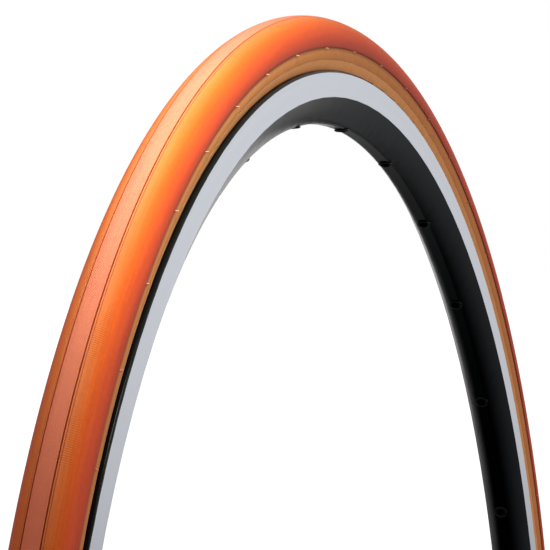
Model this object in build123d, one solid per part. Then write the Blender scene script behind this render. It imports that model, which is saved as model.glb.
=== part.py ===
from build123d import *
from math import asin, cos, degrees, radians, sin, sqrt
import os

# Road clincher tyre, inflated on its hooked aluminium rim.
# Millimetres. The origin is the wheel's centre, the axle runs along Y, and +Z is up.
# Sections are drawn with x = distance from the axle and y = distance from the wheel's mid-plane.

# Rim
bead_seat_r = 311.0        # half of the 622 mm bead seat diameter
flange_top_r = 317.4
rim_half_width = 9.5
flange_wall = 1.5
hook_depth = 0.75          # how far the hook's nose stands in from the flange wall
hook_drop = 1.1            # the nose's upper edge, below the top of the flange
hook_flat = 0.35
hook_y = rim_half_width - flange_wall - hook_depth
flange_in_y = rim_half_width - flange_wall
track_top_r = 316.45       # the brake track is machined between these two radii
track_low_r = 307.2
track_step = 0.22          # the black side wall lies this far below the machined track
side_y = rim_half_width - track_step
lip_r = 1.0
well_r = 309.0
well_half = 4.1
seat_edge_y = 4.9
bed_r = 297.2              # spoke bed, the rim's innermost surface
bed_half = 1.8             # flat part of the spoke bed, before it curves up to the brake track
bed_pull_y = 4.5           # the higher this is, the fuller the curve
bed_wall = 1.6
well_wall = 1.3
side_wall = 1.4
box_half = 2.5             # the same two measures for the hollow inside the rim
box_pull_y = 3.9
seat_corner = 0.5

# Spoke holes, eyelets, valve hole and the sleeve at the rim's joint
spoke_count = 30
spoke_step = 360 / spoke_count
spoke_hole_r = 2.2
access_hole_r = 3.9
eyelet_flange_r = 2.9
eyelet_tail_r = 2.45
eyelet_bore_r = 1.8
eyelet_proud = 0.7
eyelet_tail = 0.6
eyelet_lift = 0.05         # clearance under the two rolled flanges
eyelet_round = 0.35
valve_hole_r = 3.3
sleeve_deg = 6.5
sleeve_gap = 0.12

# Tyre section
bond = 0.03                # gap drawn between bonded layers
crown_r = 338.5
tread_arc_r = 10.55
tread_mid_r = crown_r - tread_arc_r
casing_mid_r = 325.9       # the widest level of the casing
casing_arc_r = 9.15        # the line between the two plies, above the widest level
side_arc_r = 13.7          # the same line, between the widest level and the rim
side_arc_deg = 33.7
neck_arc_r = 3.0           # where the casing turns upright between the hooks
ply = 0.45
skin = 0.40
skin_out = ply + skin
core_r = 1.3
core_gap = 0.08
core_y = 6.05
core_seat_r = 313.2        # distance of the bead core's centre from the axle
belt_deg = 48
belt_gap_deg = 0.5         # between the belt's edge and the sidewall's
strip_top_r = 321.3        # the rim strip's upper edge
strip_wrap_deg = 150       # how far the strip goes round the bead core
strip_gap = 0.06           # clearance inside the flange
hook_clear = 0.17          # clearance under the hook
heel_round = 0.6
toe_y = 4.65               # the strip's foot stands on the bead seat out to here
toe_lift = 0.5
toe_point = 0.35
ply_wrap_deg = 75
groove_y = 3.2
groove_half = 0.25
groove_depth = 0.5
groove_foot = 0.1          # half the width of the groove's floor
line_y = 3.95
line_half = 0.12
line_depth = 0.2

# Inner tube and rim tape
tube_wall = 0.9
tube_gap = 0.06
tape = 0.55
tube_floor_r = well_r + tape + 0.15
tube_floor_half = 3.3
tube_wrap_deg = 16
tube_room_deg = 8          # the same for the air space, whose corner is tighter
patch_pocket = 3.4         # height of the flat cut through the tube for the valve patch
tape_edge = 0.12

# Valve, standing up from the bottom of the rim
stem_r = 3.0
stem_pitch = 0.794
stem_thread_depth = 0.28
neck_r = 2.6
neck_pitch = 1.058
neck_thread_depth = 0.22
air_bore_r = 1.5
foot_z = -312.0
foot_thick = 0.8
foot_len = 12.0
foot_wide = 5.6
patch_len = 26.0
patch_wide = 5.6
patch_high = 1.2
patch_gap = 0.1
foot_corner_r = 2.4
stem_taper_z = -309.0      # the stem widens up to here from its foot
stem_taper = 0.4
stem_plain_z = -300.0      # the foot end of the stem is plain, then the thread begins
thread_relief = 0.3        # plain turned length at each end of a thread, and its depth
neck_z = -274.0
stem_top_z = -266.0
core_body_z = -276.0
core_body_r = 1.9
core_head_r = 2.3
core_head_high = 1.4
core_chamfer = 0.5
core_flat_y = 1.9          # half the distance across the core's spanner flats
core_top_z = stem_top_z + core_head_high
pin_r = 0.85
pin_bore_r = 0.9
pin_low_z = -277.9
pin_top_z = -258.0
pin_head_r = 1.1
pin_head_high = 0.4
seal_r = 1.3
seal_low_z = pin_low_z + 0.42
slip = 0.05                # clearance of a sliding or screwed fit
pin_travel = 2.2
lock_nut_r = 2.2
lock_nut_high = 2.4
lock_nut_z = core_top_z + pin_travel + slip
lock_nut_notches = 14
lock_nut_notch_r = 0.22
rim_nut_r = 6.0
rim_nut_high = 3.0
rim_nut_z = -bed_r + 0.1
rim_nut_notches = 20
rim_nut_notch_r = 0.55
nut_edge = 0.3
cap_low_z = neck_z + 0.3
cap_top_z = -255.5
cap_r = 3.7
cap_tip_r = 2.7
cap_bore_r = neck_r + 0.06
cap_straight = 8.0         # height of the cap's straight, fluted part
cap_roof = 1.2
cap_flutes = 10
cap_flute_r = 0.42
cap_flute_len = 9.0

os.makedirs("parts", exist_ok=True)


def save(shape, node, colour):
    shape.label = node
    shape.color = Color(*colour)
    export_step(shape, f"parts/{node}.step")


def ring(half_edges, both=True):
    """A solid of revolution about the axle from the edges of a closed outline."""
    face = make_face(half_edges)
    if both:
        face = face + mirror(face, about=Plane.XZ)
    return revolve(face, axis=Axis.Y)


def other_side(part):
    """The same piece on the other side of the wheel."""
    return mirror(part, about=Plane.XZ)


def spoke_holes(radius, low, high, first=0.5, count=spoke_count):
    """Radial pegs spread round the wheel, from one distance from the axle to another."""
    pegs = Part()
    for i in range(count):
        turn = -90 + (first + i) * spoke_step
        peg = Cylinder(radius, high - low, align=(Align.CENTER, Align.CENTER, Align.MIN))
        peg = Pos(0, 0, low) * peg
        pegs += Rot(0, 90 - turn, 0) * peg
    return pegs


# Rim

def rim_section():
    """Half of the rim's section, from the spoke bed round the flange to the well."""
    nose_r = flange_top_r - hook_drop
    nose_low_r = nose_r - hook_flat
    return [
        Line((bed_r, 0), (bed_r, bed_half)),
        Bezier((bed_r, bed_half), (bed_r, bed_pull_y), (track_low_r - track_step, side_y)),
        Line((track_low_r - track_step, side_y), (track_low_r, rim_half_width)),
        Line((track_low_r, rim_half_width), (track_top_r, rim_half_width)),
        ThreePointArc(
            (track_top_r, rim_half_width),
            (track_top_r + 0.7 * lip_r, rim_half_width - 0.3 * lip_r),
            (flange_top_r, rim_half_width - lip_r),
        ),
        ThreePointArc(
            (flange_top_r, rim_half_width - lip_r),
            (flange_top_r - 0.3, hook_y + 0.3),
            (nose_r, hook_y),
        ),
        Line((nose_r, hook_y), (nose_low_r, hook_y)),
        Line((nose_low_r, hook_y), (nose_low_r - hook_depth, flange_in_y)),
        Line((nose_low_r - hook_depth, flange_in_y), (bead_seat_r + seat_corner, flange_in_y)),
        ThreePointArc(
            (bead_seat_r + seat_corner, flange_in_y),
            (bead_seat_r + 0.3 * seat_corner, flange_in_y - 0.3 * seat_corner),
            (bead_seat_r, flange_in_y - seat_corner),
        ),
        Line((bead_seat_r, flange_in_y - seat_corner), (bead_seat_r, seat_edge_y)),
        Line((bead_seat_r, seat_edge_y), (well_r, well_half)),
        Line((well_r, well_half), (well_r, 0)),
        Line((well_r, 0), (bed_r, 0)),
    ]


def box_section(inset=0.0):
    """Half of the hollow inside the rim, or of a plug that fits it."""
    low = bed_r + bed_wall + inset
    top = well_r - well_wall - inset
    wall_y = side_y - side_wall - inset
    return [
        Line((low, 0), (low, box_half)),
        Bezier((low, box_half), (low, box_pull_y - inset), (top, wall_y)),
        Line((top, wall_y), (top, 0)),
        Line((top, 0), (low, 0)),
    ]


rim = ring(rim_section()) - ring(box_section())
rim -= spoke_holes(spoke_hole_r, bed_r - 2, bed_r + 5)
rim -= spoke_holes(access_hole_r, bed_r + 8, well_r + 5)
rim -= spoke_holes(valve_hole_r, bed_r - 2, well_r + 5, first=0, count=1)
save(rim, "rim", (0.05, 0.05, 0.06))

# The bar is rolled into a hoop, and a plug in its hollow joins the ends opposite the valve.
sleeve_face = make_face(box_section(sleeve_gap))
sleeve_face = sleeve_face + mirror(sleeve_face, about=Plane.XZ)
sleeve = revolve(sleeve_face, axis=Axis.Y, revolution_arc=sleeve_deg)
sleeve = Rot(0, -90 - sleeve_deg / 2, 0) * sleeve
save(sleeve, "rim_joint_sleeve", (0.6, 0.6, 0.62))


def eyelet():
    """A tubular rivet, rolled over on both faces of the spoke bed."""
    low = bed_r - eyelet_proud
    seat = bed_r - eyelet_lift
    back = bed_r + bed_wall + eyelet_lift
    high = bed_r + bed_wall + eyelet_tail
    barrel_r = spoke_hole_r - bond
    body = make_face(Polyline(
        (eyelet_bore_r, low + 0.2),
        (eyelet_bore_r + eyelet_round, low),
        (eyelet_flange_r - eyelet_round, low + 0.1),
        (eyelet_flange_r, low + 0.4),
        (eyelet_flange_r, seat),
        (barrel_r, seat),
        (barrel_r, back),
        (eyelet_tail_r, back),
        (eyelet_tail_r - 0.1, high),
        (eyelet_bore_r, high),
        (eyelet_bore_r, low + 0.2),
    ))
    return revolve(Plane.XZ * body, axis=Axis.Z)


one_eyelet = eyelet()
eyelets = [
    Rot(0, 180 - (0.5 + i) * spoke_step, 0) * one_eyelet
    for i in range(spoke_count)
]
save(Compound(children=eyelets), "spoke_eyelets", (0.06, 0.06, 0.06))

# Casing lines

side_turn = radians(side_arc_deg)
neck_r_start = casing_mid_r - side_arc_r * sin(side_turn)
neck_r_end = neck_r_start - neck_arc_r * sin(side_turn)
neck_y = casing_arc_r - (side_arc_r + neck_arc_r) * (1 - cos(side_turn))
core_drop = neck_r_end - core_seat_r


def split(side):
    """Radius and turn of the bend that carries a ply to one side of the bead core."""
    rise = core_r + side * (core_y - neck_y)
    total = (core_drop ** 2 + rise ** 2) / (2 * rise)
    return total - core_r, asin(core_drop / total)


def casing_line(d, top_r=None):
    """The casing from the crown, or from a level below it, to the neck, moved out by d."""
    start = 0 if top_r is None else degrees(asin((casing_mid_r - top_r) / (side_arc_r + d)))
    side_mid = (casing_mid_r, casing_arc_r - side_arc_r)
    neck_mid = (neck_r_end, neck_y + neck_arc_r)
    lower = CenterArc(side_mid, side_arc_r + d, 90 + start, side_arc_deg - start)
    neck = CenterArc(neck_mid, neck_arc_r - d, -90 + side_arc_deg, -side_arc_deg)
    if top_r is not None:
        return [lower, neck]
    return [CenterArc((casing_mid_r, 0), casing_arc_r + d, 0, 90), lower, neck]


def wrap_line(d, side, wrap_deg):
    """From the neck to the bead core and round it: side 1 is the rim's side, -1 is the tube's."""
    bend_r, bend = split(side)
    bend_mid = (neck_r_end, neck_y + side * bend_r)
    bend_arc = CenterArc(bend_mid, bend_r - side * d, -90 * side, -degrees(bend) * side)
    round_arc = CenterArc(
        (core_seat_r, core_y),
        core_r + side * d,
        90 * side - degrees(bend) * side,
        (degrees(bend) + wrap_deg) * side,
    )
    return [bend_arc, round_arc]


def closed(outer, inner):
    """Two runs of edges joined at both ends into one outline."""
    first = Line(outer[0] @ 0, inner[0] @ 0)
    last = Line(outer[-1] @ 1, inner[-1] @ 1)
    return outer + inner + [first, last]


def layer(inner_d, outer_d, side, wrap_deg):
    """A ply from bead to bead."""
    outer = casing_line(outer_d) + wrap_line(outer_d, side, wrap_deg)
    inner = casing_line(inner_d) + wrap_line(inner_d, side, wrap_deg)
    return ring(closed(outer, inner))


save(layer(-ply, -bond, -1, ply_wrap_deg), "casing_inner_ply", (0.75, 0.62, 0.4))
save(layer(0, ply, 1, ply_wrap_deg), "casing_outer_ply", (0.78, 0.65, 0.42))

core = revolve(Pos(core_seat_r, core_y) * Circle(core_r - core_gap), axis=Axis.Y)
save(other_side(core), "bead_core_left", (0.7, 0.7, 0.72))
save(core, "bead_core_right", (0.7, 0.7, 0.72))

# Belt, sidewalls and rim strips

belt_in = CenterArc((casing_mid_r, 0), casing_arc_r + ply + bond, -belt_deg, 2 * belt_deg)
belt_out = CenterArc((casing_mid_r, 0), casing_arc_r + skin_out, -belt_deg, 2 * belt_deg)
save(ring(closed([belt_out], [belt_in]), both=False), "puncture_belt", (0.9, 0.85, 0.6))

side_start_deg = belt_deg + belt_gap_deg


def skin_line(d):
    """A sidewall's face, from the belt's edge to the rim strip."""
    end = degrees(asin((casing_mid_r - strip_top_r - bond) / (side_arc_r + d)))
    return [
        CenterArc((casing_mid_r, 0), casing_arc_r + d, side_start_deg, 90 - side_start_deg),
        CenterArc((casing_mid_r, casing_arc_r - side_arc_r), side_arc_r + d, 90, end),
    ]


sidewall = ring(closed(skin_line(skin_out), skin_line(ply + bond)), both=False)
save(other_side(sidewall), "sidewall_left", (0.6, 0.38, 0.22))
save(sidewall, "sidewall_right", (0.6, 0.38, 0.22))

strip_in = casing_line(ply + bond, top_r=strip_top_r) + wrap_line(ply + bond, 1, strip_wrap_deg)
strip_out = casing_line(skin_out, top_r=strip_top_r)
hook_low_r = flange_top_r - hook_drop - hook_flat
heel_y = flange_in_y - strip_gap
toe = strip_in[-1] @ 1
strip_foot = Polyline(
    strip_out[-1] @ 1,
    (hook_low_r - hook_clear, strip_out[-1].position_at(1).Y),
    (hook_low_r - hook_clear - hook_depth, heel_y),
    (bead_seat_r + heel_round, heel_y),
    (bead_seat_r + bond, flange_in_y - heel_round),
    (bead_seat_r + bond, toe_y),
    (bead_seat_r + toe_lift, toe_y - toe_point),
    toe,
)
strip_top = Line(strip_out[0] @ 0, strip_in[0] @ 0)
strip = ring(strip_out + [strip_foot] + strip_in + [strip_top], both=False)
save(other_side(strip), "rim_strip_left", (0.8, 0.58, 0.36))
save(strip, "rim_strip_right", (0.8, 0.58, 0.36))

# Tread

def tread_r(y):
    """Distance from the axle of the tread's face at a distance y from the mid-plane."""
    return tread_mid_r + sqrt(tread_arc_r ** 2 - y ** 2)


def under_r(y):
    """The same for the tread's underside."""
    return casing_mid_r + sqrt((casing_arc_r + skin_out + bond) ** 2 - y ** 2)


def tread_arc(y0, y1, line=tread_r):
    """An arc of the tread's face, or of its underside, between two distances from the mid-plane."""
    mid = (y0 + y1) / 2
    return ThreePointArc((line(y0), y0), (line(mid), mid), (line(y1), y1))


groove_floor_r = tread_r(groove_y) - groove_depth
band_y = groove_y - bond / 2
band_edges = [
    tread_arc(0, groove_y - groove_half),
    Polyline(
        (tread_r(groove_y - groove_half), groove_y - groove_half),
        (groove_floor_r, groove_y - groove_foot),
        (groove_floor_r, band_y),
        (under_r(band_y), band_y),
    ),
    tread_arc(band_y, 0, under_r),
    Line((under_r(0), 0), (crown_r, 0)),
]
save(ring(band_edges), "tread_centre", (0.95, 0.6, 0.45))

wing_y = groove_y + bond / 2
line_low = line_y - line_half
line_high = line_y + line_half
edge_past = asin((tread_mid_r - casing_mid_r) / tread_arc_r)
edge_y = tread_arc_r * cos(edge_past)
line_turn = degrees(asin(line_high / tread_arc_r))
under_y = casing_arc_r + skin_out + bond
shoulder_edges = [
    Polyline(
        (under_r(wing_y), wing_y),
        (groove_floor_r, wing_y),
        (groove_floor_r, groove_y + groove_foot),
        (tread_r(groove_y + groove_half), groove_y + groove_half),
    ),
    tread_arc(groove_y + groove_half, line_low),
    Polyline(
        (tread_r(line_low), line_low),
        (tread_r(line_y) - line_depth, line_y),
        (tread_r(line_high), line_high),
    ),
    CenterArc((tread_mid_r, 0), tread_arc_r, line_turn, 90 + degrees(edge_past) - line_turn),
    Line((casing_mid_r, edge_y), (casing_mid_r, under_y)),
    tread_arc(under_y, wing_y, under_r),
]
shoulder = ring(shoulder_edges, both=False)
save(other_side(shoulder), "tread_shoulder_left", (0.92, 0.42, 0.15))
save(shoulder, "tread_shoulder_right", (0.92, 0.42, 0.15))

# Inner tube, rim tape

def tube_line(d, floor_r, floor_half, wrap_deg):
    """Half of the tube's section, lying against the casing and on the rim tape."""
    run = casing_line(d) + wrap_line(d, -1, wrap_deg)
    foot = Polyline(run[-1] @ 1, (floor_r, floor_half), (floor_r, 0), (casing_mid_r + casing_arc_r + d, 0))
    return run + [foot]


tube_d = -ply - tube_gap
tube = ring(tube_line(tube_d, tube_floor_r, tube_floor_half, tube_wrap_deg))
air_floor_r = tube_floor_r + tube_wall
tube -= ring(tube_line(tube_d - tube_wall, air_floor_r, tube_floor_half - tube_wall, tube_room_deg))
patch_cut = Pos(0, 0, -tube_floor_r) * Box(patch_len, patch_wide, patch_pocket)
save(tube - patch_cut, "inner_tube", (0.08, 0.08, 0.08))

tape_edges = Polyline(
    (well_r + bond, 0),
    (well_r + bond, well_half - tape_edge),
    (well_r + tape, well_half - tape_edge / 2),
    (well_r + tape, 0),
    (well_r + bond, 0),
)
tape_ring = ring(tape_edges) - spoke_holes(valve_hole_r, well_r - 3, well_r + 3, first=0, count=1)
save(tape_ring, "rim_tape", (0.85, 0.3, 0.25))

# Valve

def turned(points):
    """A part turned about the valve's axis from its closed outline of (radius, z) points."""
    return revolve(Plane.XZ * make_face(Polyline(*points, points[0])), axis=Axis.Z)


def thread_points(radius, depth, pitch, low, high):
    """A V-thread's outline, drawn as rings, from low to high."""
    points = []
    turns = int((high - low) / pitch)
    for i in range(turns):
        z = low + i * pitch
        points += [(radius - depth, z), (radius, z + 0.4 * pitch), (radius, z + 0.6 * pitch)]
    points.append((radius - depth, low + turns * pitch))
    return points


patch_align = (Align.CENTER, Align.CENTER, Align.MIN)
patch = Box(patch_len - patch_gap, patch_wide - patch_gap, patch_high, align=patch_align)
patch = Pos(0, 0, foot_z + foot_thick + bond) * patch
patch = fillet(patch.edges().filter_by(Axis.Z), foot_corner_r)
patch -= Pos(0, 0, foot_z) * Cylinder(stem_r + bond, foot_len)
save(patch, "valve_patch", (0.1, 0.1, 0.1))

stem_points = [
    (air_bore_r, foot_z + 0.2),
    (stem_r - stem_taper, foot_z + 0.2),
    (stem_r, stem_taper_z),
    (stem_r, stem_plain_z),
]
stem_low_z = stem_plain_z + thread_relief
stem_points += thread_points(stem_r, stem_thread_depth, stem_pitch, stem_low_z, neck_z - thread_relief)
stem_points += [(neck_r - thread_relief, neck_z), (neck_r - thread_relief, neck_z + thread_relief)]
neck_low_z = neck_z + 3 * thread_relief
stem_points += thread_points(neck_r, neck_thread_depth, neck_pitch, neck_low_z, stem_top_z - thread_relief)
stem_points += [
    (neck_r - thread_relief, stem_top_z),
    (core_body_r + bond, stem_top_z),
    (core_body_r + bond, core_body_z - slip),
    (air_bore_r, core_body_z - slip - core_chamfer),
]
foot = Box(foot_len, foot_wide, foot_thick, align=(Align.CENTER, Align.CENTER, Align.MIN))
foot = fillet((Pos(0, 0, foot_z) * foot).edges().filter_by(Axis.Z), foot_corner_r)
foot -= Pos(0, 0, foot_z) * Cylinder(air_bore_r, foot_len)
save(turned(stem_points) + foot, "valve_stem", (0.75, 0.72, 0.6))

core_points = [
    (pin_bore_r, core_body_z),
    (core_body_r - core_chamfer / 2, core_body_z),
    (core_body_r, core_body_z + core_chamfer),
    (core_body_r, stem_top_z + bond),
    (core_head_r, stem_top_z + bond),
    (core_head_r, core_top_z - core_chamfer / 2),
    (core_head_r - core_chamfer, core_top_z),
    (pin_bore_r, core_top_z),
]
core_body = turned(core_points)
for way in (-1, 1):
    flat = Box(2 * core_head_r, core_head_r, 2 * core_head_high)
    core_body -= Pos(0, way * (core_flat_y + core_head_r / 2), core_top_z) * flat
save(core_body, "valve_core_body", (0.8, 0.75, 0.55))

seal_z = core_body_z - 0.02
pin_points = [
    (0, pin_low_z),
    (pin_head_r, pin_low_z),
    (pin_head_r, pin_low_z + 0.35),
    (pin_r, pin_low_z + 0.4),
    (pin_r, pin_top_z - pin_head_high - 0.2),
    (pin_head_r, pin_top_z - pin_head_high),
    (pin_head_r, pin_top_z - 0.1),
    (0.6, pin_top_z),
    (0, pin_top_z),
]
save(turned(pin_points), "valve_pin", (0.82, 0.78, 0.6))

seal_points = [
    (pin_r + 0.01, seal_low_z),
    (seal_r, seal_low_z),
    (seal_r, seal_z - 0.5),
    (seal_r - 0.3, seal_z),
    (pin_r + 0.01, seal_z),
]
save(turned(seal_points), "valve_seal", (0.1, 0.1, 0.1))


def knurled(radius, bore, low, high, notches, notch_r):
    """A round nut with notches round its rim and softened edges."""
    nut = turned([
        (bore, low),
        (radius - nut_edge, low),
        (radius, low + nut_edge),
        (radius, high - nut_edge),
        (radius - nut_edge, high),
        (bore, high),
    ])
    notch = Pos(radius + 0.35 * notch_r, 0, (low + high) / 2) * Cylinder(notch_r, 2 * (high - low))
    cutters = Part()
    for i in range(notches):
        cutters += Rot(0, 0, 360 * i / notches) * notch
    return nut - cutters


lock_nut_top_z = lock_nut_z + lock_nut_high
lock_nut = knurled(lock_nut_r, pin_bore_r, lock_nut_z, lock_nut_top_z, lock_nut_notches, lock_nut_notch_r)
save(lock_nut, "valve_lock_nut", (0.82, 0.78, 0.6))

rim_nut_top_z = rim_nut_z + rim_nut_high
rim_nut = knurled(rim_nut_r, stem_r + slip, rim_nut_z, rim_nut_top_z, rim_nut_notches, rim_nut_notch_r)
save(rim_nut, "valve_rim_nut", (0.8, 0.8, 0.8))

cap_room_z = cap_top_z - cap_roof
cap_points = [
    (cap_bore_r, cap_low_z),
    (cap_r - 0.2, cap_low_z),
    (cap_r, cap_low_z + 0.2),
    (cap_r, cap_low_z + cap_straight),
    (cap_tip_r + 0.3, cap_top_z - 1.6),
    (cap_tip_r - 0.9, cap_top_z),
    (0, cap_top_z),
    (0, cap_room_z),
    (1.4, cap_room_z),
    (2.35, cap_room_z - 3.0),
    (2.45, core_top_z - 1.7),
    (cap_bore_r, core_top_z - 2.0),
]
cap = turned(cap_points)
flute = Pos(cap_r + 0.35 * cap_flute_r, 0, cap_low_z + 3.0) * Cylinder(cap_flute_r, cap_flute_len)
for i in range(cap_flutes):
    cap -= Rot(0, 0, 360 * i / cap_flutes) * flute
save(cap, "dust_cap", (0.08, 0.08, 0.08))

print("saved", len(os.listdir("parts")), "parts")
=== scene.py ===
import math
import random
import bpy
import bmesh
from mathutils import Matrix, Vector


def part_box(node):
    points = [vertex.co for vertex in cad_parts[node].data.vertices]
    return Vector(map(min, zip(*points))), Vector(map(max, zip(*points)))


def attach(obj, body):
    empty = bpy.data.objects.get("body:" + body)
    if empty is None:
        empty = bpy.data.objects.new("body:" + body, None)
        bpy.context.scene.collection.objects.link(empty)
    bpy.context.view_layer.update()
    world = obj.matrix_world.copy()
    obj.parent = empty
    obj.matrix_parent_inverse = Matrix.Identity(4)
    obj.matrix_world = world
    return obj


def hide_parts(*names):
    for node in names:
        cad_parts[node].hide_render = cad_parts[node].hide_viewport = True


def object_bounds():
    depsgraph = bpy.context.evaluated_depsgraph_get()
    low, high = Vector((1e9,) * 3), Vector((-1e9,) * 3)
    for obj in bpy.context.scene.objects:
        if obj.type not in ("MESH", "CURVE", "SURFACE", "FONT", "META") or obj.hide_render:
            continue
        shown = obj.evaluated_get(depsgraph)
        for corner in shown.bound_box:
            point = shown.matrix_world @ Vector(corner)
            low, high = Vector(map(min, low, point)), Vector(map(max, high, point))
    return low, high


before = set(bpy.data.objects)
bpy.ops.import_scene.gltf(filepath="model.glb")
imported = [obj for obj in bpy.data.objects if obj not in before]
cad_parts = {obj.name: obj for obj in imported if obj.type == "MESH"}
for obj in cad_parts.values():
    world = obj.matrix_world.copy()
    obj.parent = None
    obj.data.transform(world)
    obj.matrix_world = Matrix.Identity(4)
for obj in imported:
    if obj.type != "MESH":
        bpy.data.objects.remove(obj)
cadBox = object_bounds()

mm = 0.001
scene = bpy.context.scene
print("frame loaded:", len(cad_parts), "CAD nodes")

# The tyre's section, in millimetres: r is the distance from the axle, y from the wheel's mid-plane
tyre = {
    "crownR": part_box("tread_centre")[1].z / mm,
    "treadArc": -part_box("tread_shoulder_left")[0].y / mm,   # radius of the tread's round face
    "casingMidR": 325.9,        # the casing's widest level
    "casingArc": 9.15,
    "sideArc": 13.7,            # the casing's curve between its widest level and the rim
    "plyOut": 0.48,             # from the plies' middle line to the skin's underside
    "skinOut": 0.85,            # and to its face
    "treadUnder": 0.88,         # from the plies to the tread's underside
    "beltDeg": 48.5,            # where the skin starts, at the belt's edge
    "stripTopR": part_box("rim_strip_left")[1].z / mm,
    "stripGap": 0.03,
    "sideSteps": 24,
    "grooveY": 3.2,             # a groove parts the crown band from each shoulder
    "grooveHalf": 0.26,
    "grooveDepth": 0.55,
    "grooveFoot": 0.08,         # half the width of its floor
    "seam": 0.015,              # from its middle to either rubber
    "lineY": 3.95,              # a thin line beside it
    "lineHalf": 0.14,
    "lineDepth": 0.2,
    "crownStep": 0.12,
    "edgeDeg": 1.2,             # the shoulder's edge steps down over this much of its arc
    "edgeStep": 0.06,
    "edgeRoundDeg": 0.7,
    "patternR": 330.0,          # where the finishes measure their length round the wheel
    "sectorSteps": 45,          # a sector of the ring is spun, then doubled until the ring is closed
    "doublings": 4,
    "underSteps": 10,           # steps of the section's arcs
    "faceSteps": 60,
    "hiddenSteps": 30,
    "sharpDeg": 38,             # an edge that turns more than this stays crisp
}
treadMidR = tyre["crownR"] - tyre["treadArc"]


def newMaterial(name):
    material = bpy.data.materials.new(name)
    material.use_nodes = True
    tree = material.node_tree
    return material, tree, tree.nodes["Principled BSDF"]


def put(tree, kind, inputs=None, **settings):
    node = tree.nodes.new(kind)
    for key, value in settings.items():
        setattr(node, key, value)
    for key, value in (inputs or {}).items():
        if isinstance(value, bpy.types.NodeSocket):
            tree.links.new(value, node.inputs[key])
        else:
            node.inputs[key].default_value = value
    return node


def calc(tree, operation, a, b=0.0, c=0.0, clamp=False):
    return put(tree, "ShaderNodeMath", {0: a, 1: b, 2: c}, operation=operation, use_clamp=clamp).outputs[0]


# 1 between low and high, falling to 0 over soft on each side
def band(tree, value, low, high, soft):
    up = put(tree, "ShaderNodeMapRange", {0: value, 1: low - soft, 2: low, 3: 0.0, 4: 1.0}).outputs[0]
    down = put(tree, "ShaderNodeMapRange", {0: value, 1: high, 2: high + soft, 3: 1.0, 4: 0.0}).outputs[0]
    return calc(tree, "MULTIPLY", up, down)


def blendColor(tree, factor, a, b):
    node = put(tree, "ShaderNodeMix", {0: factor, 6: a, 7: b}, data_type="RGBA")
    return node.outputs[2]


def ramp(tree, factor, stops):
    node = put(tree, "ShaderNodeValToRGB", {0: factor})
    marks = node.color_ramp.elements
    while len(marks) < len(stops):
        marks.new(0.5)
    for mark, (place, color) in zip(marks, stops):
        mark.position = place
        mark.color = color
    return node.outputs[0]


# Distance from the axle, distance from the mid-plane and length round the wheel, all in millimetres
def wheelCoords(tree):
    place = put(tree, "ShaderNodeTexCoord").outputs["Object"]
    x, y, z = put(tree, "ShaderNodeSeparateXYZ", {0: place}).outputs
    r = calc(tree, "SQRT", calc(tree, "ADD", calc(tree, "MULTIPLY", x, x), calc(tree, "MULTIPLY", z, z)))
    rMm = calc(tree, "MULTIPLY", r, 1 / mm)
    yMm = calc(tree, "MULTIPLY", y, 1 / mm)
    around = calc(tree, "MULTIPLY", calc(tree, "ARCTAN2", z, x), tyre["patternR"])
    return rMm, yMm, around


def darker(color, share):
    return tuple(c * share for c in color[:3]) + (1,)


def joined(tree, x, y, z=0.0):
    return put(tree, "ShaderNodeCombineXYZ", {0: x, 1: y, 2: z}).outputs[0]


def bump(tree, shader, height, strength, distance):
    node = put(tree, "ShaderNodeBump", {"Height": height, "Strength": strength, "Distance": distance})
    tree.links.new(node.outputs[0], shader.inputs["Normal"])


# A closed ring about the axle from its closed outline of (r, y) points
def spun(name, outline, material):
    mesh = bmesh.new()
    corners = [mesh.verts.new((r * mm, y * mm, 0)) for r, y in outline]
    edges = [mesh.edges.new((a, b)) for a, b in zip(corners, corners[1:] + corners[:1])]
    sector = math.tau / 2 ** tyre["doublings"]
    bmesh.ops.spin(mesh, geom=corners + edges, cent=(0, 0, 0), axis=(0, 1, 0), angle=sector,
                   steps=tyre["sectorSteps"])
    for i in range(tyre["doublings"]):
        copy = bmesh.ops.duplicate(mesh, geom=mesh.verts[:] + mesh.edges[:] + mesh.faces[:])["geom"]
        copied = [part for part in copy if isinstance(part, bmesh.types.BMVert)]
        bmesh.ops.rotate(mesh, verts=copied, cent=(0, 0, 0), matrix=Matrix.Rotation(sector * 2 ** i, 3, "Y"))
    bmesh.ops.remove_doubles(mesh, verts=mesh.verts, dist=1e-6)
    bmesh.ops.recalc_face_normals(mesh, faces=mesh.faces)
    return finished(name, mesh, material)


def finished(name, mesh, material, smooth=True):
    for face in mesh.faces:
        face.smooth = smooth
    data = bpy.data.meshes.new(name)
    mesh.to_mesh(data)
    mesh.free()
    piece = bpy.data.objects.new(name, data)
    scene.collection.objects.link(piece)
    data.materials.append(material)
    if smooth:
        data.set_sharp_from_angle(angle=math.radians(tyre["sharpDeg"]))
    return piece


# Points on an arc of the section; 0 degrees points away from the axle, 90 towards +Y
def arcPoints(midR, midY, radius, startDeg, endDeg, count):
    points = []
    for i in range(count + 1):
        turn = math.radians(startDeg + (endDeg - startDeg) * i / count)
        points.append((midR + radius * math.cos(turn), midY + radius * math.sin(turn)))
    return points


def treadR(y):
    return treadMidR + math.sqrt(tyre["treadArc"] ** 2 - y ** 2)


def treadTurn(y):
    return math.degrees(math.asin(y / tyre["treadArc"]))


def flipped(outline, side):
    return [(r, y * side) for r, y in outline]


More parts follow.
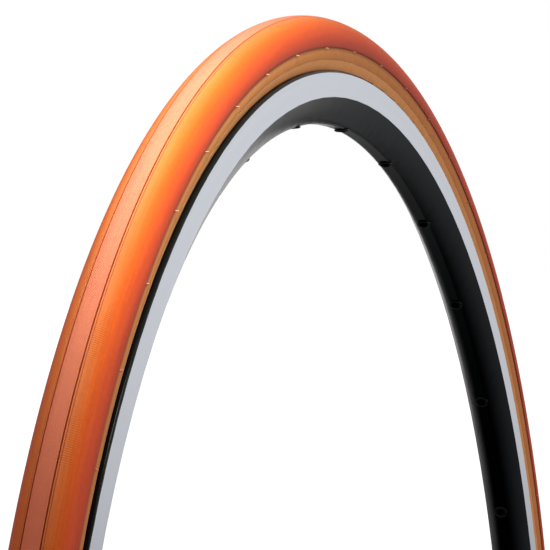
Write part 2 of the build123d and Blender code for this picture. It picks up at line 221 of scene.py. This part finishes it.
rubber = {
    "filePitch": 0.85,      # mm between the tread's diagonal file lines
    "linePitch": 0.8,       # and between the shoulders' lines straight across
    "lineAcross": (4.6, 7.6),   # where those lie, from the crown, and how softly they end
    "lineSoft": 1.2,
    "lineLeast": 0.15,      # what is left of them where they are worn
    "wornScale": 0.06,
    "wornRange": (0.42, 0.60),
    "fileShade": 0.26,
    "streakShade": 0.36,
    "streakStretch": (0.03, 1.6),   # how fine the streaks are round the wheel and across it
    "mottleShade": 0.24,
    "mottleScale": 0.5,
    "level": 0.95,
    "fileHeight": 0.00012,
    "fileStrength": 0.6,
    "sunk": (0.27, 0.028, 0.014, 1),    # painted shade down in the grooves
    "grooveShadeShare": 0.85,
    "grooveShadeDepth": (0.22, 0.03),
    "rough": 0.55,
    "shine": 0.12,
    "centreAcross": (0.0, 3.3),     # mm from the crown, where each list of colours starts and ends
    "shoulderAcross": (3.4, 18.5),
    "centre": [(0.0, (0.82, 0.235, 0.135, 1)), (0.8, (0.82, 0.22, 0.12, 1)), (1.0, (0.81, 0.19, 0.08, 1))],
    # painted light and shade: the shoulder is lighter and yellower by the groove, darker and redder towards the
    # tread's edge
    "shoulder": [(0.0, (0.76, 0.205, 0.065, 1)), (0.165, (0.75, 0.165, 0.028, 1)), (0.36, (0.71, 0.105, 0.010, 1)),
                 (0.556, (0.62, 0.072, 0.009, 1)), (0.75, (0.52, 0.050, 0.009, 1)), (0.945, (0.40, 0.043, 0.013, 1))],
    "skin": (0.63, 0.238, 0.066, 1),
    "strip": (0.95, 0.43, 0.155, 1),
    # painted highlight: the nubs are a lighter peach than the rubber round them
    "nubHighlight": (0.85, 0.40, 0.24, 1),
    "skinDark": 0.74,       # the skin's darker patches
    "skinMottle": 0.25,
    "clothPitch": 0.7,      # mm between the cloth's threads, which show through it
    "clothHeight": 0.00008,
    "clothStrength": 0.2,
    "creaseShade": (0.012, 0.008, 0.006, 1),   # painted shade in the crease where the casing meets the rim
    "creaseShadeR": (317.2, 317.9),
    "underEdgeShade": (0.20, 0.055, 0.018, 1),   # and painted shade where the skin goes under the tread's edge
    "underEdgeShadeR": (324.2, 325.9),
}


# Orange rubber whose colour follows the length across the tread, with painted shade in the grooves and a fine file
# pattern
def treadRubber(name, stops, low, high, fileDepth, lineDepth):
    material, tree, shader = newMaterial(name)
    r, y, around = wheelCoords(tree)
    off = calc(tree, "ABSOLUTE", y)
    up = calc(tree, "SUBTRACT", r, treadMidR)
    turn = calc(tree, "ARCTAN2", off, up)
    across = calc(tree, "MULTIPLY", turn, tyre["treadArc"])       # length across the tread from the crown
    place = put(tree, "ShaderNodeMapRange", {0: across, 1: low, 2: high, 3: 0.0, 4: 1.0}).outputs[0]
    color = ramp(tree, place, stops)
    pitch = math.tau / rubber["filePitch"]
    diagA = calc(tree, "SINE", calc(tree, "MULTIPLY", calc(tree, "ADD", around, across), pitch))
    diagB = calc(tree, "SINE", calc(tree, "MULTIPLY", calc(tree, "SUBTRACT", around, across), pitch))
    file = calc(tree, "MULTIPLY", calc(tree, "MAXIMUM", diagA, diagB), fileDepth)
    straight = calc(tree, "SINE", calc(tree, "MULTIPLY", around, math.tau / rubber["linePitch"]))
    patches = put(tree, "ShaderNodeTexNoise", {"Vector": joined(tree, around, across),
                  "Scale": rubber["wornScale"]}).outputs[0]
    worn, whole = rubber["wornRange"]
    patches = put(tree, "ShaderNodeMapRange", {0: patches, 1: worn, 2: whole, 3: rubber["lineLeast"],
                  4: 1.0}).outputs[0]
    reach = calc(tree, "MULTIPLY", band(tree, across, *rubber["lineAcross"], rubber["lineSoft"]), patches)
    file = calc(tree, "ADD", file, calc(tree, "MULTIPLY", calc(tree, "MULTIPLY", straight, reach), lineDepth))
    alongScale, acrossScale = rubber["streakStretch"]
    streaks = put(tree, "ShaderNodeTexNoise", {"Vector": joined(tree, calc(tree, "MULTIPLY", around, alongScale),
                  calc(tree, "MULTIPLY", y, acrossScale)), "Scale": 1.0, "Detail": 3.0}).outputs[0]
    mottle = put(tree, "ShaderNodeTexNoise", {"Vector": joined(tree, around, across),
                 "Scale": rubber["mottleScale"], "Detail": 4.0}).outputs[0]
    shade = calc(tree, "MULTIPLY_ADD", calc(tree, "SUBTRACT", streaks, 0.5), rubber["streakShade"], rubber["level"])
    shade = calc(tree, "MULTIPLY_ADD", calc(tree, "SUBTRACT", mottle, 0.5), rubber["mottleShade"], shade)
    level = calc(tree, "MULTIPLY_ADD", file, rubber["fileShade"], shade)
    dim = put(tree, "ShaderNodeVectorMath", {0: color, 1: joined(tree, level, level, level)},
              operation="MULTIPLY").outputs[0]
    # painted shade: the rubber darkens towards the groove floors
    reachOut = calc(tree, "SQRT", calc(tree, "ADD", calc(tree, "MULTIPLY", up, up), calc(tree, "MULTIPLY", off, off)))
    floor, face = (tyre["treadArc"] - depth for depth in rubber["grooveShadeDepth"])
    sunk = put(tree, "ShaderNodeMapRange", {0: reachOut, 1: floor, 2: face, 3: rubber["grooveShadeShare"],
               4: 0.0}).outputs[0]
    tree.links.new(blendColor(tree, sunk, dim, rubber["sunk"]), shader.inputs["Base Color"])
    shader.inputs["Roughness"].default_value = rubber["rough"]
    shader.inputs["Specular IOR Level"].default_value = rubber["shine"]
    bump(tree, shader, file, rubber["fileStrength"], rubber["fileHeight"])
    return material


treadCentreRubber = treadRubber("treadCentreRubber", rubber["centre"], *rubber["centreAcross"], 1.0, 0.0)
shoulderRubber = treadRubber("shoulderRubber", rubber["shoulder"], *rubber["shoulderAcross"], 0.2, 0.65)


# Thin tan rubber over the casing's cloth, with painted shade in the crease along the rim and, by the share shaded,
# under the tread's edge
def skinRubber(name, color, rough, shaded=0.0):
    material, tree, shader = newMaterial(name)
    r, y, around = wheelCoords(tree)
    cloth = calc(tree, "SINE", calc(tree, "MULTIPLY", calc(tree, "ADD", around, r), math.tau / rubber["clothPitch"]))
    mottle = put(tree, "ShaderNodeTexNoise", {"Vector": joined(tree, around, r), "Scale": rubber["skinMottle"],
                 "Detail": 4.0}).outputs[0]
    dark = darker(color, rubber["skinDark"])
    # painted shade: the skin turns black in the crease by the rim
    low, high = rubber["creaseShadeR"]
    outsideCreaseShade = put(tree, "ShaderNodeMapRange", {0: r, 1: low, 2: high, 3: 0.0, 4: 1.0}).outputs[0]
    # painted shade: the skin darkens to red-brown under the tread's edge, by the share shaded
    low, high = rubber["underEdgeShadeR"]
    under = put(tree, "ShaderNodeMapRange", {0: r, 1: low, 2: high, 3: 0.0, 4: shaded}).outputs[0]
    plain = blendColor(tree, under, blendColor(tree, mottle, dark, color), rubber["underEdgeShade"])
    tree.links.new(blendColor(tree, outsideCreaseShade, rubber["creaseShade"], plain), shader.inputs["Base Color"])
    shader.inputs["Roughness"].default_value = rough
    shader.inputs["Specular IOR Level"].default_value = rubber["shine"]
    bump(tree, shader, cloth, rubber["clothStrength"], rubber["clothHeight"])
    return material


# painted highlight: a lighter peach for the nubs
nubHighlightRubber = skinRubber("nubHighlightRubber", rubber["nubHighlight"], 0.5)
sidewallSkin = skinRubber("sidewallSkin", rubber["skin"], 0.6, 0.75)
stripSkin = skinRubber("stripSkin", rubber["strip"], 0.55)


def crownPoints(low, high):
    count = max(2, round((high - low) / tyre["crownStep"]))
    return [(treadR(low + (high - low) * i / count), low + (high - low) * i / count) for i in range(count + 1)]


def makeTreadCentre():
    edge = tyre["grooveY"] - tyre["seam"]
    top = tyre["grooveY"] - tyre["grooveHalf"]
    floorR = treadR(tyre["grooveY"]) - tyre["grooveDepth"]
    under = tyre["casingArc"] + tyre["treadUnder"]
    underTurn = math.degrees(math.asin(edge / under))
    half = crownPoints(0, top)
    half += [(floorR, edge - tyre["grooveFoot"]), (floorR, edge)]
    other = flipped(half[1:], -1)
    below = arcPoints(tyre["casingMidR"], 0, under, underTurn, -underTurn, tyre["underSteps"])
    outline = list(reversed(other)) + half + below
    return spun("treadCentre", outline, treadCentreRubber)


def makeShoulder(name, side):
    edge = tyre["grooveY"] + tyre["seam"]
    floorR = treadR(tyre["grooveY"]) - tyre["grooveDepth"]
    lineLow, lineHigh = tyre["lineY"] - tyre["lineHalf"], tyre["lineY"] + tyre["lineHalf"]
    past = math.degrees(math.asin((treadMidR - tyre["casingMidR"]) / tyre["treadArc"]))
    outline = [(floorR, edge), (floorR, edge + tyre["grooveFoot"])]
    outline += crownPoints(tyre["grooveY"] + tyre["grooveHalf"], lineLow)
    outline += [(treadR(tyre["lineY"]) - tyre["lineDepth"], tyre["lineY"])]
    arc, end = tyre["treadArc"], 90 + past
    outline += arcPoints(treadMidR, 0, arc, treadTurn(lineHigh), end - tyre["edgeDeg"], tyre["faceSteps"])
    outline += arcPoints(treadMidR, 0, arc - tyre["edgeStep"], end - tyre["edgeRoundDeg"], end, 2)
    under = tyre["casingArc"] + tyre["treadUnder"]
    underTurn = math.degrees(math.asin(edge / under))
    outline += arcPoints(tyre["casingMidR"], 0, under, 90, underTurn, tyre["hiddenSteps"])
    return spun(name, flipped(outline, side), shoulderRubber)


# The casing's face moved out by d, from the belt's edge down to the rim strip
def sidePoints(d):
    midR, sideR = tyre["casingMidR"], tyre["sideArc"] + d
    end = math.degrees(math.asin((midR - tyre["stripTopR"] - tyre["stripGap"]) / sideR))
    upper = arcPoints(midR, 0, tyre["casingArc"] + d, tyre["beltDeg"], 90, tyre["sideSteps"])
    lower = arcPoints(midR, tyre["casingArc"] - tyre["sideArc"], sideR, 90, 90 + end, tyre["sideSteps"])
    return upper + lower[1:]


def makeSidewall(name, side):
    outline = sidePoints(tyre["skinOut"]) + sidePoints(tyre["plyOut"])[::-1]
    return spun(name, flipped(outline, side), sidewallSkin)


for side, word in ((-1, "left"), (1, "right")):
    title = word.capitalize()
    shoulder = makeShoulder("treadShoulder" + title, side)
    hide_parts("tread_shoulder_" + word)
    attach(shoulder, "wheel")
    wall = makeSidewall("sidewall" + title, side)
    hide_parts("sidewall_" + word)
    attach(wall, "wheel")
treadCentre = makeTreadCentre()
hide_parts("tread_centre")
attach(treadCentre, "wheel")
print("tyre made")

# Moulding nubs along the tread's edges
nubs = {"count": 56, "firstDeg": 54.9, "r": 325.5, "y": 10.25, "radius": 0.36, "tip": 0.72, "length": 1.15,
        "sunk": 0.35, "lean": 14, "seed": 7}


def makeNubs(name, side):
    mesh = bmesh.new()
    rng = random.Random(nubs["seed"] + side)
    for i in range(nubs["count"]):
        length = nubs["length"] * rng.uniform(0.75, 1.2) * mm
        turn = math.radians(nubs["firstDeg"] + 360 / nubs["count"] * i)
        new = bmesh.ops.create_cone(mesh, cap_ends=True, segments=10, radius1=nubs["radius"] * mm,
                                    radius2=nubs["radius"] * nubs["tip"] * mm, depth=length)["verts"]
        lean = math.radians(rng.uniform(-1, 1) * nubs["lean"])
        stand = Matrix.Rotation(math.radians(90) * -side + lean, 4, "X")
        place = (Matrix.Rotation(-turn, 4, "Y") @ Matrix.Translation((nubs["r"] * mm, side * nubs["y"] * mm, 0))
                 @ stand @ Matrix.Translation((0, 0, length * nubs["sunk"])))
        bmesh.ops.transform(mesh, matrix=place, verts=new)
    bmesh.ops.recalc_face_normals(mesh, faces=mesh.faces)
    return finished(name, mesh, nubHighlightRubber)


for side, word in ((-1, "Left"), (1, "Right")):
    piece = makeNubs("mouldingNubs" + word, side)
    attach(piece, "wheel")
print("nubs made")

rim = {
    "trackY": 9.43,         # the track is what stands out past this, below trackTop
    "trackTop": 316.45,
    "bare": ((0.46, 0.49, 0.545, 1), (0.58, 0.613, 0.668, 1)),
    # painted shade and light: one black finish, darkest on the bed, which lies in shade, and lighter grey on the
    # walls, which catch the light
    "bed": (0.0006, 0.0006, 0.0007, 1),
    "wall": (0.023, 0.0235, 0.027, 1),
    "lip": (0.004, 0.0045, 0.004, 1),
    "lipR": 308.0,          # everything past this but the track is lip
    "bedHalf": 2.6,         # the bed's painted shade gives way to the walls' painted light between these two
    "wallLitY": 8.8,
    "rough": 0.22,
    "trackRough": 0.36,
    "lipShine": 0.04,
    "lineStretch": (6.0, 0.004),    # the turned lines are fine outwards and long round the wheel
    "lineHeight": 0.00005,
    "lineStrength": 0.12,
}


# Black anodised alloy, bare and finely turned on the two brake tracks
def rimMetal():
    material, tree, shader = newMaterial("rimMetal")
    r, y, around = wheelCoords(tree)
    off = calc(tree, "ABSOLUTE", y)
    onTrack = calc(tree, "MULTIPLY", calc(tree, "GREATER_THAN", off, rim["trackY"]),
                   calc(tree, "LESS_THAN", r, rim["trackTop"]))
    outScale, alongScale = rim["lineStretch"]
    lines = put(tree, "ShaderNodeTexNoise", {"Vector": joined(tree, calc(tree, "MULTIPLY", r, outScale),
                calc(tree, "MULTIPLY", around, alongScale)), "Scale": 1.0, "Detail": 3.0}).outputs[0]
    bare = blendColor(tree, lines, *rim["bare"])
    # painted shade on the bed, painted light on the walls
    wallLitShare = put(tree, "ShaderNodeMapRange", {0: off, 1: rim["bedHalf"], 2: rim["wallLitY"], 3: 0.0, 4: 1.0}).outputs[0]
    black = blendColor(tree, wallLitShare, rim["bed"], rim["wall"])
    onLip = calc(tree, "MULTIPLY", calc(tree, "GREATER_THAN", r, rim["lipR"]), calc(tree, "SUBTRACT", 1.0, onTrack))
    black = blendColor(tree, onLip, black, rim["lip"])
    tree.links.new(blendColor(tree, onTrack, black, bare), shader.inputs["Base Color"])
    tree.links.new(calc(tree, "SUBTRACT", 1.0, onLip), shader.inputs["Metallic"])
    shader.inputs["Specular IOR Level"].default_value = rim["lipShine"]
    tree.links.new(calc(tree, "MULTIPLY_ADD", onTrack, rim["trackRough"] - rim["rough"], rim["rough"]),
                   shader.inputs["Roughness"])
    bump(tree, shader, calc(tree, "MULTIPLY", lines, onTrack), rim["lineStrength"], rim["lineHeight"])
    return material


grain = {"scale": 900.0, "dark": 0.85, "roughSpread": 0.15, "roughLess": 0.07}


def plainFinish(name, color, rough, metallic=1.0):
    material, tree, shader = newMaterial(name)
    place = put(tree, "ShaderNodeTexCoord").outputs["Object"]
    mottle = put(tree, "ShaderNodeTexNoise", {"Vector": place, "Scale": grain["scale"],
                 "Detail": 3.0}).outputs[0]
    dark = darker(color, grain["dark"])
    tree.links.new(blendColor(tree, mottle, dark, color), shader.inputs["Base Color"])
    tree.links.new(calc(tree, "MULTIPLY_ADD", mottle, grain["roughSpread"], rough - grain["roughLess"]),
                   shader.inputs["Roughness"])
    shader.inputs["Metallic"].default_value = metallic
    return material


finishes = {
    "rim": rimMetal(),
    "rim_strip_left": stripSkin,
    "rim_strip_right": stripSkin,
    "spoke_eyelets": plainFinish("eyeletBlack", (0.01, 0.01, 0.01, 1), 0.35),
}
nickel = plainFinish("valveNickel", (0.66, 0.64, 0.60, 1), 0.25)
butyl = plainFinish("butylRubber", (0.02, 0.02, 0.021, 1), 0.7, 0.0)
cloth = plainFinish("casingCloth", (0.70, 0.52, 0.30, 1), 0.8, 0.0)
for node in ("valve_stem", "valve_core_body", "valve_pin", "valve_lock_nut", "valve_rim_nut"):
    finishes[node] = nickel
for node in ("inner_tube", "valve_patch", "valve_seal"):
    finishes[node] = butyl
for node in ("casing_outer_ply", "casing_inner_ply", "puncture_belt"):
    finishes[node] = cloth
finishes["bead_core_left"] = finishes["bead_core_right"] = plainFinish("beadWire", (0.5, 0.5, 0.52, 1), 0.35)
finishes["rim_joint_sleeve"] = plainFinish("sleeveAlloy", (0.6, 0.61, 0.63, 1), 0.4)
finishes["rim_tape"] = plainFinish("tapeCloth", (0.5, 0.06, 0.04, 1), 0.8, 0.0)
finishes["dust_cap"] = plainFinish("capPlastic", (0.02, 0.02, 0.02, 1), 0.45, 0.0)
for node, material in finishes.items():
    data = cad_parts[node].data
    data.materials.clear()
    data.materials.append(material)
print("CAD nodes finished")

studio = {
    "floorSize": 40.0,
    "floorColor": (0.40, 0.54, 0.60, 1),    # cool enough to look white under the warm room light
    "floorGlow": (0.72, 1.0),   # at the wheel, where the lamps do the rest and leave its shadow, and far away
    "floorFade": (0.8, 3.0),
    "floorShine": (2.8, 5.6),   # metres from the axle where the floor starts and ends growing bright in reflections
    "floorMirrored": 0.75,
    "fill": 0.31,           # the room's light on the wheel
    "fillColor": (1, 0.66, 0.60, 1),
    "shine": 0.85,          # and its brightness in reflections
    "topPower": 33.0, "topSize": 0.08, "topCone": 36, "topColor": (0.88, 1, 0.92),
    "topPlace": (-0.37, -0.22, 0.75), "topAim": (-0.142, 0, 0.295),
    "sidePower": 39.0, "sideSize": 1.8, "sideColor": (1, 0.93, 0.88),
    "sidePlace": (1.35, -2.6, 0.9), "sideAim": (0, 0, 0.1),
}


def makeFloor():
    mesh = bmesh.new()
    bmesh.ops.create_grid(mesh, x_segments=1, y_segments=1, size=studio["floorSize"] / 2,
                          matrix=Matrix.Translation((0, 0, cadBox[0].z)))
    material, tree, shader = newMaterial("floorPaper")
    shader.inputs["Base Color"].default_value = studio["floorColor"]
    shader.inputs["Roughness"].default_value = 1.0
    shader.inputs["Specular IOR Level"].default_value = 0.0
    path = put(tree, "ShaderNodeLightPath").outputs
    place = put(tree, "ShaderNodeTexCoord").outputs["Object"]
    away = put(tree, "ShaderNodeVectorMath", {0: place}, operation="LENGTH").outputs["Value"]
    fade, whole = studio["floorFade"]
    low, high = studio["floorGlow"]
    seen = put(tree, "ShaderNodeMapRange", {0: away, 1: fade, 2: whole, 3: low, 4: high}).outputs[0]
    near, far = studio["floorShine"]
    shine = put(tree, "ShaderNodeMapRange", {0: away, 1: near, 2: far, 3: 0.0,
                4: studio["floorMirrored"]}).outputs[0]
    mirrored = calc(tree, "MULTIPLY", path["Is Glossy Ray"], shine)
    glow = calc(tree, "MULTIPLY_ADD", path["Is Camera Ray"], seen, mirrored)
    shader.inputs["Emission Color"].default_value = (1, 1, 1, 1)
    tree.links.new(glow, shader.inputs["Emission Strength"])
    floor = finished("floor", mesh, material, smooth=False)


def makeWorld():
    world = bpy.data.worlds.new("whiteStudio")
    scene.world = world
    world.use_nodes = True
    tree = world.node_tree
    back = tree.nodes["Background"]
    path = put(tree, "ShaderNodeLightPath").outputs
    seen = calc(tree, "ADD", path["Is Camera Ray"], path["Is Transmission Ray"], clamp=True)
    white = calc(tree, "ADD", seen, path["Is Glossy Ray"], clamp=True)
    tree.links.new(blendColor(tree, white, studio["fillColor"], (1, 1, 1, 1)), back.inputs["Color"])
    mirrored = calc(tree, "MULTIPLY_ADD", path["Is Glossy Ray"], studio["shine"] - studio["fill"], studio["fill"])
    strength = put(tree, "ShaderNodeMix", {0: seen, 2: mirrored, 3: 1.0}).outputs[0]
    tree.links.new(strength, back.inputs["Strength"])


def makeLamp(name, kind):
    lamp = bpy.data.lights.new(name + "Light", kind)
    lamp.energy = studio[name + "Power"]
    lamp.color = studio[name + "Color"]
    if kind == "SPOT":
        lamp.spot_size = math.radians(studio[name + "Cone"])
        lamp.spot_blend = 1.0
        lamp.shadow_soft_size = studio[name + "Size"]
    else:
        lamp.size = studio[name + "Size"]
    holder = bpy.data.objects.new(name + "Light", lamp)
    scene.collection.objects.link(holder)
    place, aim = Vector(studio[name + "Place"]), Vector(studio[name + "Aim"])
    holder.location = place
    holder.rotation_euler = (aim - place).to_track_quat("-Z", "Y").to_euler()
    holder.visible_camera = False


camera = {"place": (-1.1261, -0.3524, 0.2613), "azimuth": -71.75, "elevation": 1.05, "roll": -1.55,
          "lens": 200.8, "sensor": 36.0}


def makeCamera():
    turn, lift, roll = (math.radians(camera[key]) for key in ("azimuth", "elevation", "roll"))
    back = Vector((math.sin(turn) * math.cos(lift), -math.cos(turn) * math.cos(lift), math.sin(lift)))
    right = Vector((0, 0, 1)).cross(back).normalized()
    up = back.cross(right)
    rightRolled = math.cos(roll) * right + math.sin(roll) * up
    upRolled = -math.sin(roll) * right + math.cos(roll) * up
    data = bpy.data.cameras.new("camera")
    data.lens = camera["lens"]
    data.sensor_width = camera["sensor"]
    data.clip_start, data.clip_end = 0.05, 100
    holder = bpy.data.objects.new("camera", data)
    scene.collection.objects.link(holder)
    matrix = Matrix((rightRolled, upRolled, back)).transposed().to_4x4()
    matrix.translation = camera["place"]
    holder.matrix_world = matrix
    scene.camera = holder


makeFloor()
makeWorld()
makeLamp("top", "SPOT")
makeLamp("side", "AREA")
makeCamera()
scene.view_settings.view_transform = "Standard"
print("studio ready")
